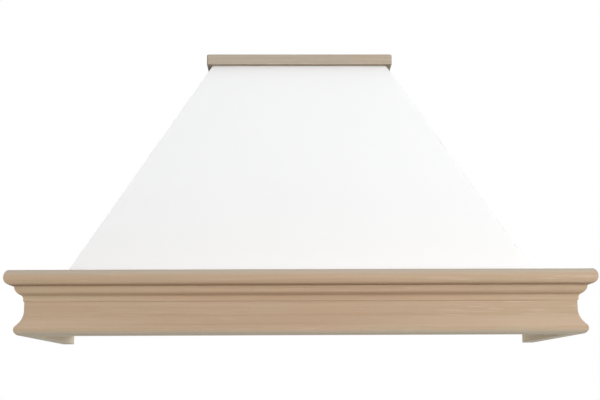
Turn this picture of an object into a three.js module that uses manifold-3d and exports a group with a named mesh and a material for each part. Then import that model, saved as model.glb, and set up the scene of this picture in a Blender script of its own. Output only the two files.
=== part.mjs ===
// Wall-mounted wooden range hood cover: a tapered white canopy on a mantel shelf with a moulded rail below,
// a small collar round the flue opening above, and the softwood frame inside that carries them.
// Millimetres, +Z up. X runs along the wall, the wall is the plane Y = 0 and the front faces -Y.
// Heights are measured from the bottom of the rail, and the finished group is lowered at the end
// so that its origin is the middle of the hanging rail's back face.

import * as THREE from "three";
import { mergeVertices } from "three/addons/utils/BufferGeometryUtils.js";
import Module from "manifold-3d";

const wasm = await Module();
wasm.setup();

// ---------------------------------------------------------------- driving dimensions

const WIDTH = 1200; // across the nosing of the shelf
const DEPTH = 500; // from the wall to the nosing
const FIT = 0.3; // clearance of a mitred, sloped or bored joint

const RAIL_HEIGHT = 100;
const RAIL_FACE = 19; // thickness of the rail at its flat face
const NOSE_RADIUS = 11.5; // rounded foot of the rail
const NOSE_PROUD = 17; // how far the foot stands out from the flat face
const COVE_RADIUS = 44;

const BED_HEIGHT = 31; // bed moulding under the shelf
const BED_PROUD = 17.5;
const BED_FILLET = 2.4; // thickness of its thin lower edge
const BED_FILLET_HEIGHT = 9.5;
const BED_FILLET_EASE = 1.2; // rounding of its lower corner
const BED_QUIRK = 2; // small step between fillet and ovolo
const BED_LIP = 5; // upright lip above the ovolo
const OVOLO_PULL = [0.7, 0.36]; // corner that the ovolo bends towards, as shares of its width and height

const SHELF_THICK = 31;
const SHELF_LANDING = 1; // shelf showing inside the sole battens that stand on it
const NOSING_OVERHANG = 18.5; // the nosing beyond the bed moulding
const NOSING_TIP = 16; // height of the nosing's tip above the shelf's underside
const NOSING_CROWN = 10; // width of the rounded upper edge

const LEDGE = 105; // from the nosing to the foot of the canopy
const CANOPY_HEIGHT = 487;
const PANEL_THICK = 9;

const COLLAR_WIDTH = 420;
const COLLAR_DEPTH = 290;
const COLLAR_HEIGHT = 23.5;
const COLLAR_THICK = 13;
const COLLAR_EASE = 1.5; // eased outer edges

const FRAME_BAR = 45; // width of the bars of the frame round the flue opening
const BATTEN = 20; // thickness of the battens and back rails
const HIP_POST = 34;
const STILE_WIDTH = 45;
const STUD_WIDTH = 45;
const SOLE_WIDTH = 30;
const SOLE_HEIGHT = 28;

const LEDGER_WIDTH = 63; // under the foot of the canopy
const LEDGER_HEIGHT = 25;
const LINER_RECESS = 30; // from the rail's underside up to the liner cleats
const CLEAT = 20;
const BLOCK_LEG = 60; // corner block

const HANG_RAIL_HEIGHT = 80;
const HANG_DROP = 38; // from the top of the canopy down to the hanging rail
const HANG_LAP = 10; // thickness of its halved ends
const WALL_CLEAT_GAP = 20; // from its ends to the stiles, level with its top
const WALL_CLEAT_HEIGHT = 60; // at its back face
const WALL_HOLES = 4; // in the cleat, and as many in the back rail
const WALL_HOLE_INSET = 40; // from the cleat's end to its outer holes
const BACK_HOLE_INSET = 90; // from the back rail's end to its outer holes
const WALL_HOLE_RADIUS = 3;
const WALL_SINK_RADIUS = 6;

const BRACKET_LEG = 34;
const BRACKET_HEIGHT = 18;
const BRACKET_THICK = 2;
const BRACKET_GAP = 5; // to the ledger in front of it
const BRACKET_HOLE = 20; // from the corner to the screw in each leg

const SCREW_RADIUS = 2;
const SCREW_HEAD_RADIUS = 4;
const SCREW_HEAD_HEIGHT = 2.4;
const SCREW_TIP = 5;
const SOLE_SCREW_BITE = 17; // depth in the shelf
const LAP_SCREW_STOP = 3; // wood left in front of the screws of the halved joints
const BRACKET_SCREW_LENGTH = 16;
const SCREW_SIDES = 12;

const CURVE_STEPS = 14; // facets of a moulded quarter round
const OVERCUT = 1; // how far a cutting tool runs past the face it cuts

// ---------------------------------------------------------------- worked-out planes and levels

const railOuter = RAIL_FACE + NOSE_PROUD;
const bedOuter = RAIL_FACE + BED_PROUD;
const nosingOuter = bedOuter + NOSING_OVERHANG;
const innerHalf = WIDTH / 2 - nosingOuter; // half the clear width between the side rails
const innerDepth = DEPTH - nosingOuter; // from the wall to the back of the front rail

const shelfTop = RAIL_HEIGHT + SHELF_THICK;
const canopyTop = shelfTop + CANOPY_HEIGHT;
const coverTop = canopyTop + COLLAR_HEIGHT;

const footHalf = WIDTH / 2 - LEDGE;
const footDepth = DEPTH - LEDGE;
const headHalf = COLLAR_WIDTH / 2 - COLLAR_THICK;
const headDepth = COLLAR_DEPTH - COLLAR_THICK;
const sideLean = (footHalf - headHalf) / CANOPY_HEIGHT; // inwards for each millimetre up
const frontLean = (footDepth - headDepth) / CANOPY_HEIGHT;
const sideWall = PANEL_THICK * Math.hypot(1, sideLean); // panel thickness measured level
const frontWall = PANEL_THICK * Math.hypot(1, frontLean);

const outerHalf = (z) => footHalf - sideLean * (z - shelfTop);
const outerDepth = (z) => footDepth - frontLean * (z - shelfTop);
const liningHalf = (z) => outerHalf(z) - sideWall - FIT; // where the frame meets the panels
const liningDepth = (z) => outerDepth(z) - frontWall - FIT;

const soleTop = shelfTop + SOLE_HEIGHT;
const soleBack = liningDepth(soleTop) - SOLE_WIDTH; // back edge of the front sole batten
const soleInner = liningHalf(soleTop) - SOLE_WIDTH; // inner edge of the side ones
const shelfInner = soleInner - SHELF_LANDING - innerHalf; // from the rail's back face, inwards

const hangHigh = canopyTop - HANG_DROP;
const hangLow = hangHigh - HANG_RAIL_HEIGHT;

// ---------------------------------------------------------------- materials

const colour = (hex, roughness, metalness = 0) =>
  new THREE.MeshStandardMaterial({ color: hex, roughness, metalness });
const rawWood = colour(0xb89d83, 0.75);
const whitePaint = colour(0xf2f2f1, 0.55);
const softwood = colour(0xcfae7c, 0.8);
const zincSteel = colour(0xb9bcc0, 0.35, 0.9);

// ---------------------------------------------------------------- making and cutting solids

// Turns the triangles round where a placing has mirrored them, so that every face points out.
function facingOut(geometry) {
  const p = geometry.attributes.position;
  const [a, b, c] = [new THREE.Vector3(), new THREE.Vector3(), new THREE.Vector3()];
  let volume = 0;
  for (let i = 0; i < p.count; i += 3) {
    a.fromBufferAttribute(p, i);
    b.fromBufferAttribute(p, i + 1);
    c.fromBufferAttribute(p, i + 2);
    volume += a.dot(b.cross(c));
  }
  if (volume < 0) {
    for (let i = 0; i < p.count; i += 3) {
      b.fromBufferAttribute(p, i + 1);
      c.fromBufferAttribute(p, i + 2);
      p.setXYZ(i + 1, c.x, c.y, c.z);
      p.setXYZ(i + 2, b.x, b.y, b.z);
    }
  }
  geometry.computeVertexNormals();
  return geometry;
}

// Carries a section from one end of a piece to the other. place gives the point for section
// coordinates (u, v) and t, which is 0 at the first end and 1 at the second.
function carry(section, place) {
  const geometry = new THREE.ExtrudeGeometry(section, {
    depth: 1,
    bevelEnabled: false,
    curveSegments: CURVE_STEPS,
  });
  geometry.deleteAttribute("uv");
  const p = geometry.attributes.position;
  for (let i = 0; i < p.count; i++) p.setXYZ(i, ...place(p.getX(i), p.getY(i), p.getZ(i)));
  return facingOut(geometry);
}

const mix = (from, to, t) => from + (to - from) * t;
const outline = (...points) => new THREE.Shape(points.map(([u, v]) => new THREE.Vector2(u, v)));
const rectangle = (u0, u1, v0, v1) => outline([u0, v0], [u1, v0], [u1, v1], [u0, v1]);

// A piece across the cover: section (distance from the wall, height), ends at plus and minus half(d, z).
const across = (section, half) =>
  carry(section, (d, z, t) => [mix(-half(d, z), half(d, z), t), -d, z]);

// A piece from front to back: section (distance from the middle, height), ends at near(s, z) and far(s, z).
const frontToBack = (side, section, near, far) =>
  carry(section, (s, z, t) => [side * s, -mix(far(s, z), near(s, z), t), z]);

// An upright piece: its plan (x, distance from the wall) at height low, moved by lean for each millimetre up.
const upright = (plan, low, high, leanX = 0, leanD = 0) =>
  carry(plan, (x, d, t) => {
    const rise = (high - low) * t;
    return [x - leanX * rise, -(d - leanD * rise), low + rise];
  });

function solid(geometry) {
  const g = geometry.clone();
  g.deleteAttribute("normal");
  g.deleteAttribute("uv");
  const merged = mergeVertices(g, 1e-4);
  return new wasm.Manifold(
    new wasm.Mesh({
      numProp: 3,
      vertProperties: merged.attributes.position.array,
      triVerts: new Uint32Array(merged.index.array),
    }),
  );
}

function geometryOf(manifold) {
  const mesh = manifold.getMesh();
  const geometry = new THREE.BufferGeometry();
  geometry.setAttribute("position", new THREE.BufferAttribute(mesh.vertProperties, 3));
  geometry.setIndex(new THREE.BufferAttribute(mesh.triVerts, 1));
  const flat = geometry.toNonIndexed();
  flat.computeVertexNormals();
  return flat;
}

// A piece with every tool cut out of it.
function cut(geometry, tools) {
  return geometryOf(tools.reduce((left, tool) => left.subtract(solid(tool)), solid(geometry)));
}

const block = (x0, x1, d0, d1, z0, z1) => upright(rectangle(x0, x1, d0, d1), z0, z1);

const cover = new THREE.Group();

function add(name, geometry, material) {
  const mesh = new THREE.Mesh(geometry, material);
  mesh.name = name;
  cover.add(mesh);
}

const SIDES = [
  ["left", -1],
  ["right", 1],
];

// ---------------------------------------------------------------- mouldings
// A moulding's section is drawn as (distance out from the rail's back face, height). The front run is
// mitred at both ends, and each side run is mitred at the front and cut square at the wall.

function addMoulding(name, section, backHalf, backDepth, material) {
  const trim = FIT / 2;
  const atFront = carry(section, (u, v, t) => {
    const half = backHalf + u - trim;
    return [mix(half, -half, t), -(backDepth + u), v];
  });
  add(`${name}_front`, atFront, material);
  for (const [side, sign] of SIDES) {
    const run = carry(section, (u, v, t) => [
      sign * (backHalf + u),
      -mix(0, backDepth + u - trim, t),
      v,
    ]);
    add(`${name}_${side}`, run, material);
  }
}

// Flat face above, a cove, and a half-round foot that the cove runs into without a step.
function railSection() {
  const noseU = railOuter - NOSE_RADIUS;
  const coveU = RAIL_FACE + COVE_RADIUS;
  const coveV = NOSE_RADIUS + Math.sqrt((NOSE_RADIUS + COVE_RADIUS) ** 2 - (coveU - noseU) ** 2);
  const meet = Math.atan2(coveV - NOSE_RADIUS, coveU - noseU);
  const s = new THREE.Shape();
  s.moveTo(0, 0);
  s.lineTo(noseU, 0);
  s.absarc(noseU, NOSE_RADIUS, NOSE_RADIUS, -Math.PI / 2, meet, false);
  s.absarc(coveU, coveV, COVE_RADIUS, meet + Math.PI, Math.PI, true);
  s.lineTo(RAIL_FACE, RAIL_HEIGHT);
  s.lineTo(0, RAIL_HEIGHT);
  return s;
}

// Fillet, quirk and flattened ovolo, planted on the rail's flat face.
function bedSection() {
  const foot = RAIL_HEIGHT - BED_HEIGHT;
  const quirk = foot + BED_FILLET_HEIGHT;
  const lip = RAIL_HEIGHT - BED_LIP;
  const thin = RAIL_FACE + BED_FILLET;
  const start = thin + BED_QUIRK;
  const e = BED_FILLET_EASE;
  const [out, up] = OVOLO_PULL;
  const s = new THREE.Shape();
  s.moveTo(RAIL_FACE, foot);
  s.lineTo(thin - e, foot);
  s.absarc(thin - e, foot + e, e, -Math.PI / 2, 0, false);
  s.lineTo(thin, quirk);
  s.lineTo(start, quirk);
  s.quadraticCurveTo(mix(start, bedOuter, out), mix(quirk, lip, up), bedOuter, lip);
  s.lineTo(bedOuter, RAIL_HEIGHT);
  s.lineTo(RAIL_FACE, RAIL_HEIGHT);
  return s;
}

// Shelf board with a thumb nosing: a long sweep below the tip and a short one above it.
function shelfSection() {
  const tip = RAIL_HEIGHT + NOSING_TIP;
  const crown = nosingOuter - NOSING_CROWN;
  const s = new THREE.Shape();
  s.moveTo(shelfInner, RAIL_HEIGHT);
  s.lineTo(bedOuter, RAIL_HEIGHT);
  s.absellipse(bedOuter, tip, NOSING_OVERHANG, NOSING_TIP, -Math.PI / 2, 0, false);
  s.absellipse(crown, tip, NOSING_CROWN, shelfTop - tip, 0, Math.PI / 2, false);
  s.lineTo(shelfInner, shelfTop);
  return s;
}

function collarSection() {
  const e = COLLAR_EASE;
  const s = new THREE.Shape();
  s.moveTo(0, canopyTop);
  s.lineTo(COLLAR_THICK - e, canopyTop);
  s.absarc(COLLAR_THICK - e, canopyTop + e, e, -Math.PI / 2, 0, false);
  s.absarc(COLLAR_THICK - e, coverTop - e, e, 0, Math.PI / 2, false);
  s.lineTo(0, coverTop);
  return s;
}

// ---------------------------------------------------------------- canopy panels
// The front and side panels are mitred to each other along the two hips.

function addPanels() {
  const profile = (outer, wall) =>
    outline(
      [outer(shelfTop) - wall, shelfTop],
      [outer(shelfTop), shelfTop],
      [outer(canopyTop), canopyTop],
      [outer(canopyTop) - wall, canopyTop],
    );
  const inset = (outer, s, z, wall) => (outer(z) - s) / wall; // 0 outside, 1 inside
  const front = across(
    profile(outerDepth, frontWall),
    (d, z) => outerHalf(z) - sideWall * inset(outerDepth, d, z, frontWall) - FIT / 2,
  );
  add("canopy_panel_front", front, whitePaint);
  for (const [side, sign] of SIDES) {
    const hip = (s, z) =>
      outerDepth(z) - frontWall * inset(outerHalf, s, z, sideWall) - FIT / 2;
    const panel = frontToBack(sign, profile(outerHalf, sideWall), hip, () => 0);
    add(`canopy_panel_${side}`, panel, whitePaint);
  }
}

// ---------------------------------------------------------------- screws
// Countersunk screws. Each one goes in at a point along a direction, and its bore is cut with a clearance.

function turned(points, at, direction) {
  const profile = points.map(([r, along]) => new THREE.Vector2(r, -along));
  const geometry = new THREE.LatheGeometry(profile.reverse(), SCREW_SIDES).toNonIndexed();
  geometry.deleteAttribute("uv");
  const turn = new THREE.Quaternion().setFromUnitVectors(
    new THREE.Vector3(0, -1, 0),
    new THREE.Vector3(...direction).normalize(),
  );
  return facingOut(geometry.applyQuaternion(turn).translate(...at));
}

const screw = (at, direction, length) =>
  turned(
    [
      [0, 0],
      [SCREW_HEAD_RADIUS, 0],
      [SCREW_RADIUS, SCREW_HEAD_HEIGHT],
      [SCREW_RADIUS, length - SCREW_TIP],
      [0, length],
    ],
    at,
    direction,
  );

// The hole for a screw, which runs a little past the head's face.
const screwBore = (at, direction, length) => {
  const wide = SCREW_HEAD_RADIUS + FIT * Math.SQRT2;
  return turned(
    [
      [0, -FIT],
      [wide + FIT, -FIT],
      [SCREW_RADIUS + FIT, SCREW_HEAD_HEIGHT + FIT],
      [SCREW_RADIUS + FIT, length + FIT - SCREW_TIP],
      [0, length + 2 * FIT],
    ],
    at,
    direction,
  );
};

// A level row of countersunk holes through a batten on the wall, for screws that aren't part of the cover.
function wallHoles(half, inset, level) {
  const sink = WALL_SINK_RADIUS - WALL_HOLE_RADIUS;
  const profile = [
    [0, -OVERCUT],
    [WALL_SINK_RADIUS + OVERCUT, -OVERCUT],
    [WALL_HOLE_RADIUS, sink],
    [WALL_HOLE_RADIUS, BATTEN + OVERCUT],
    [0, BATTEN + OVERCUT],
  ];
  const outer = half - inset;
  return Array.from({ length: WALL_HOLES }, (_, i) =>
    turned(profile, [mix(-outer, outer, i / (WALL_HOLES - 1)), -BATTEN, level], [0, 1, 0]),
  );
}

function addScrews(name, seats, length) {
  seats.forEach(([at, direction], i) => {
    add(`${name}_${i + 1}`, screw(at, direction, length), zincSteel);
  });
}

const boresFor = (seats, length) =>
  seats.map(([at, direction]) => screwBore(at, direction, length));

// ---------------------------------------------------------------- frame inside the canopy

const soleScrewLength = SOLE_HEIGHT + SOLE_SCREW_BITE;

function soleSeats() {
  const down = [0, 0, -1];
  const d = liningDepth(soleTop) - SOLE_WIDTH / 2;
  const reach = liningHalf(soleTop) - HIP_POST - SOLE_WIDTH;
  const front = [-1, -1 / 3, 1 / 3, 1].map((n) => [[n * reach, -d, soleTop], down]);
  const x = liningHalf(soleTop) - SOLE_WIDTH / 2;
  const near = liningDepth(soleTop) - HIP_POST - SOLE_WIDTH;
  const far = BATTEN + SOLE_WIDTH;
  const sides = SIDES.map(([, sign]) => [near, far].map((y) => [[sign * x, -y, soleTop], down]));
  return [front, ...sides];
}

function addSoleBattens([frontSeats, leftSeats, rightSeats]) {
  const lining = (reach, back) =>
    outline(
      [back, shelfTop],
      [reach(shelfTop), shelfTop],
      [reach(soleTop), soleTop],
      [back, soleTop],
    );
  const front = across(lining(liningDepth, soleBack), (d, z) => liningHalf(z) - HIP_POST - FIT);
  add("sole_batten_front", cut(front, boresFor(frontSeats, soleScrewLength)), softwood);
  for (const [side, sign] of SIDES) {
    const seats = side === "left" ? leftSeats : rightSeats;
    const near = (s, z) => Math.min(soleBack, liningDepth(z) - HIP_POST) - FIT;
    const batten = frontToBack(sign, lining(liningHalf, soleInner), near, () => BATTEN);
    add(`sole_batten_${side}`, cut(batten, boresFor(seats, soleScrewLength)), softwood);
  }
}

// Posts in the two front corners. They lean with both panels.
function addHipPosts() {
  for (const [side, sign] of SIDES) {
    const x = [liningHalf(shelfTop) - HIP_POST, liningHalf(shelfTop)].map((v) => sign * v);
    const d = liningDepth(shelfTop);
    const plan = rectangle(Math.min(...x), Math.max(...x), d - HIP_POST, d);
    const post = upright(plan, shelfTop, canopyTop, sign * sideLean, frontLean);
    add(`hip_post_${side}`, post, softwood);
  }
}

function addFrontStud() {
  const d = liningDepth(soleTop);
  const plan = rectangle(-STUD_WIDTH / 2, STUD_WIDTH / 2, d - BATTEN, d);
  add("front_stud", upright(plan, soleTop, canopyTop, 0, frontLean), softwood);
}

// ---------------------------------------------------------------- stiles, hanging rail and wall cleat

const stileInner = (z) => liningHalf(z) - STILE_WIDTH;
const lapScrewLength = BATTEN - LAP_SCREW_STOP;

function lapSeats() {
  const levels = [hangLow + BATTEN, hangHigh - BATTEN];
  return SIDES.flatMap(([, sign]) =>
    levels.map((z) => [[sign * (liningHalf(z) - STILE_WIDTH / 2), 0, z], [0, -1, 0]]),
  );
}

// Stiles behind the side panels, halved at the back for the ends of the hanging rail.
function addWallStiles(seats) {
  const housing = block(-WIDTH, WIDTH, -OVERCUT, HANG_LAP + FIT, hangLow - FIT, hangHigh + FIT);
  for (const [side, sign] of SIDES) {
    const x = [stileInner(shelfTop), liningHalf(shelfTop)].map((v) => sign * v);
    const plan = rectangle(Math.min(...x), Math.max(...x), 0, BATTEN);
    const stile = upright(plan, shelfTop, canopyTop, sign * sideLean, 0);
    add(`wall_stile_${side}`, cut(stile, [housing, ...boresFor(seats, lapScrewLength)]), softwood);
  }
}

// The hanging rail's lower edge is bevelled, so that it hooks over the wall cleat.
function addHangingRail(seats) {
  const section = outline(
    [0, hangLow],
    [BATTEN, hangLow + BATTEN],
    [BATTEN, hangHigh],
    [0, hangHigh],
  );
  const rail = across(section, (d, z) => liningHalf(z) - FIT);
  const shoulders = SIDES.map(([, sign]) => {
    const x = [stileInner(hangLow) - FIT, footHalf].map((v) => sign * v);
    const low = hangLow - OVERCUT;
    const high = hangHigh + OVERCUT;
    const rise = high - low;
    const start = sideLean * (hangLow - low);
    const plan = rectangle(Math.min(...x), Math.max(...x), HANG_LAP, BATTEN + OVERCUT);
    return carry(plan, (x, d, t) => {
      const shift = start - sideLean * rise * t;
      return [x + sign * shift, -d, mix(low, high, t)];
    });
  });
  add("hanging_rail", cut(rail, [...shoulders, ...boresFor(seats, lapScrewLength)]), softwood);
}

// The cleat is screwed to the wall first. Its bevel faces up and towards the wall.
function addWallCleat() {
  const top = hangLow - FIT * Math.SQRT2;
  const low = top - WALL_CLEAT_HEIGHT;
  const section = outline([0, low], [BATTEN, low], [BATTEN, top + BATTEN], [0, top]);
  const half = stileInner(top + BATTEN) - WALL_CLEAT_GAP;
  const cleat = across(section, () => half);
  const holes = wallHoles(half, WALL_HOLE_INSET, low + WALL_CLEAT_HEIGHT / 2);
  add("wall_cleat", cut(cleat, holes), softwood);
}

// ---------------------------------------------------------------- frame round the flue opening

function addFlueFrame() {
  const bar = (x0, x1, d0, d1) => block(x0, x1, d0, d1, canopyTop, coverTop);
  add("flue_frame_front", bar(-headHalf, headHalf, headDepth - FRAME_BAR, headDepth), softwood);
  add("flue_frame_back", bar(-headHalf, headHalf, 0, FRAME_BAR), softwood);
  for (const [side, sign] of SIDES) {
    const x = [headHalf - FRAME_BAR, headHalf].map((v) => sign * v);
    const rail = bar(Math.min(...x), Math.max(...x), FRAME_BAR, headDepth - FRAME_BAR);
    add(`flue_frame_${side}`, rail, softwood);
  }
}

// ---------------------------------------------------------------- behind the rail

const ledgerLow = RAIL_HEIGHT - LEDGER_HEIGHT;
const cleatTop = LINER_RECESS + CLEAT;
const ledgerBack = BATTEN + BRACKET_LEG + BRACKET_GAP; // wall end of the side ledgers
const bracketMiddle = (cleatTop + RAIL_HEIGHT) / 2;

function addShelfLedgers() {
  const inner = innerDepth - LEDGER_WIDTH;
  const front = block(-innerHalf, innerHalf, inner, innerDepth, ledgerLow, RAIL_HEIGHT);
  add("shelf_ledger_front", front, softwood);
  for (const [side, sign] of SIDES) {
    const x = [innerHalf - LEDGER_WIDTH, innerHalf].map((v) => sign * v);
    const ends = [Math.min(...x), Math.max(...x)];
    const ledger = block(...ends, ledgerBack, inner, ledgerLow, RAIL_HEIGHT);
    add(`shelf_ledger_${side}`, ledger, softwood);
  }
}

// Triangular blocks glued into the two front corners, under the ledgers.
function addCornerBlocks() {
  for (const [side, sign] of SIDES) {
    const plan = outline(
      [sign * innerHalf, innerDepth],
      [sign * (innerHalf - BLOCK_LEG), innerDepth],
      [sign * innerHalf, innerDepth - BLOCK_LEG],
    );
    add(`corner_block_${side}`, upright(plan, LINER_RECESS, ledgerLow), softwood);
  }
}

// Cleats that the hood insert's liner is screwed up against.
function addLinerCleats() {
  const clear = BLOCK_LEG + FIT;
  const level = [LINER_RECESS, cleatTop];
  const reach = innerHalf - clear;
  add("liner_cleat_front", block(-reach, reach, innerDepth - CLEAT, innerDepth, ...level), softwood);
  add(
    "liner_cleat_back",
    block(CLEAT - innerHalf, innerHalf - CLEAT, BATTEN, BATTEN + CLEAT, ...level),
    softwood,
  );
  for (const [side, sign] of SIDES) {
    const x = [innerHalf - CLEAT, innerHalf].map((v) => sign * v);
    const cleat = block(Math.min(...x), Math.max(...x), BATTEN, innerDepth - clear, ...level);
    add(`liner_cleat_${side}`, cleat, softwood);
  }
}

// Angle brackets tie the back rail to the side rails, with one screw in each leg.
function bracketSeats(sign) {
  const [back, side] = [BATTEN + BRACKET_THICK, innerHalf - BRACKET_THICK];
  return [
    [[sign * (innerHalf - BRACKET_HOLE), -back, bracketMiddle], [0, 1, 0]],
    [[sign * side, -(BATTEN + BRACKET_HOLE), bracketMiddle], [sign, 0, 0]],
  ];
}

function addBrackets() {
  for (const [side, sign] of SIDES) {
    const x = (from) => sign * (innerHalf - from);
    const plan = outline(
      [x(0), BATTEN],
      [x(BRACKET_LEG), BATTEN],
      [x(BRACKET_LEG), BATTEN + BRACKET_THICK],
      [x(BRACKET_THICK), BATTEN + BRACKET_THICK],
      [x(BRACKET_THICK), BATTEN + BRACKET_LEG],
      [x(0), BATTEN + BRACKET_LEG],
    );
    const low = bracketMiddle - BRACKET_HEIGHT / 2;
    const bracket = upright(plan, low, low + BRACKET_HEIGHT);
    const seats = bracketSeats(sign);
    const bores = boresFor(seats, BRACKET_SCREW_LENGTH);
    add(`angle_bracket_${side}`, cut(bracket, bores), zincSteel);
    addScrews(`bracket_screw_${side}`, seats, BRACKET_SCREW_LENGTH);
  }
}

const bracketBores = () =>
  SIDES.flatMap(([, sign]) => boresFor(bracketSeats(sign), BRACKET_SCREW_LENGTH));

// The cover is screwed to the wall through this rail, above the liner cleat in front of it.
function addBackRail() {
  const rail = block(-innerHalf, innerHalf, 0, BATTEN, LINER_RECESS, RAIL_HEIGHT);
  const holes = wallHoles(innerHalf, BACK_HOLE_INSET, bracketMiddle);
  add("back_rail", cut(rail, [...bracketBores(), ...holes]), softwood);
}

// Cuts more tools out of pieces that are already in the cover.
function bore(names, tools) {
  for (const name of names) {
    const mesh = cover.getObjectByName(name);
    mesh.geometry = cut(mesh.geometry, tools);
  }
}

// ---------------------------------------------------------------- assembly

const seatsInSoles = soleSeats();
const seatsInLaps = lapSeats();

addMoulding("rail", railSection(), innerHalf, innerDepth, rawWood);
addMoulding("bed_moulding", bedSection(), innerHalf, innerDepth, rawWood);
addMoulding("shelf", shelfSection(), innerHalf, innerDepth, rawWood);
addPanels();
addMoulding("collar", collarSection(), headHalf, headDepth, rawWood);

addFlueFrame();
addSoleBattens(seatsInSoles);
addHipPosts();
addFrontStud();
addWallStiles(seatsInLaps);
addHangingRail(seatsInLaps);
addWallCleat();

addShelfLedgers();
addCornerBlocks();
addLinerCleats();
addBackRail();
addBrackets();

bore(["shelf_front", "shelf_left", "shelf_right"], boresFor(seatsInSoles.flat(), soleScrewLength));
bore(["rail_left", "rail_right"], bracketBores());
addScrews("sole_screw", seatsInSoles.flat(), soleScrewLength);
addScrews("lap_screw", seatsInLaps, lapScrewLength);

cover.position.z = -(hangLow + hangHigh) / 2;

export default cover;
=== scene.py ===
import math

import bpy
import numpy as np
from mathutils import Euler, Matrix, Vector


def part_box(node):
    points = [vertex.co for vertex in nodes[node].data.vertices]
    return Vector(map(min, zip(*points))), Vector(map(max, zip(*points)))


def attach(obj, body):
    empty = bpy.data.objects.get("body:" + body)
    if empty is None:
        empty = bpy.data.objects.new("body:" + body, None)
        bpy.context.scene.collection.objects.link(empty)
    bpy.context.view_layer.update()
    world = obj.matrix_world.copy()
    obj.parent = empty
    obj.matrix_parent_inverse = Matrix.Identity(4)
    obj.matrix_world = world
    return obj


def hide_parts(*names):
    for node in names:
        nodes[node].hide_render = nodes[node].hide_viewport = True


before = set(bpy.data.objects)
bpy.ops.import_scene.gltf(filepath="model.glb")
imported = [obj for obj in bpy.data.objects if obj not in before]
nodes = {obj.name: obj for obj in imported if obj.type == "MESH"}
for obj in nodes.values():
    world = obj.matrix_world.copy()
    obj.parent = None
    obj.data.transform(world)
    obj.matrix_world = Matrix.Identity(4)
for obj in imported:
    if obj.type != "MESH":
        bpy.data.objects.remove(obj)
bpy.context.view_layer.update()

scene = bpy.context.scene
scene.view_settings.view_transform = "Standard"
print("frame loaded:", len(nodes), "CAD nodes")


# lowest and highest corner of a CAD node, in metres
def boxOf(node):
    low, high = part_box(node)
    return np.array(low), np.array(high)


railLow, railHigh = boxOf("rail_front")
shelfLow, shelfHigh = boxOf("shelf_front")
collarLow, collarHigh = boxOf("collar_front")
footZ = railLow[2]  # underside of the rails
railTop = railHigh[2] - footZ  # these three are heights above it
shelfTop = shelfHigh[2] - footZ
collarFoot = collarLow[2] - footZ


camera = {
    "inFront": 2.289,  # m from the nosing
    "belowFoot": 0.1046,  # m under the rails
    "aside": -0.0381,  # m right of the middle
    "turn": 0.87,  # degrees to the right
    "pitch": 9.326,  # degrees up
    "roll": 0.255,  # degrees clockwise
    "angle": 29.51,  # degrees across the picture
}
cameraData = bpy.data.cameras.new("camera")
cameraData.sensor_fit = "HORIZONTAL"
cameraData.angle = math.radians(camera["angle"])
cameraObject = bpy.data.objects.new("camera", cameraData)
cameraObject.location = (camera["aside"], shelfLow[1] - camera["inFront"], footZ - camera["belowFoot"])
aim = Euler((math.radians(90 + camera["pitch"]), 0, -math.radians(camera["turn"]))).to_matrix()
tilt = Euler((0, 0, -math.radians(camera["roll"]))).to_matrix()
cameraObject.rotation_euler = (aim @ tilt).to_euler()
scene.collection.objects.link(cameraObject)
scene.camera = cameraObject
print("camera placed")


# A value's socket. Sums, products and quotients of wires add Math nodes.
class Wire:
    def __init__(self, bench, socket):
        self.bench = bench
        self.socket = socket

    def combine(self, operation, *terms):
        return self.bench.put("ShaderNodeMath", {"operation": operation}, dict(enumerate(terms)))

    def __add__(self, other):
        return self.combine("ADD", self, other)

    def __radd__(self, other):
        return self.combine("ADD", other, self)

    def __sub__(self, other):
        return self.combine("SUBTRACT", self, other)

    def __rsub__(self, other):
        return self.combine("SUBTRACT", other, self)

    def __mul__(self, other):
        return self.combine("MULTIPLY", self, other)

    def __rmul__(self, other):
        return self.combine("MULTIPLY", other, self)

    def __truediv__(self, other):
        return self.combine("DIVIDE", self, other)

    def __rtruediv__(self, other):
        return self.combine("DIVIDE", other, self)

    def __abs__(self):
        return self.combine("ABSOLUTE", self)

    def root(self):
        return self.combine("SQRT", self)

    def fraction(self):
        return self.combine("FRACT", self)


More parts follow.
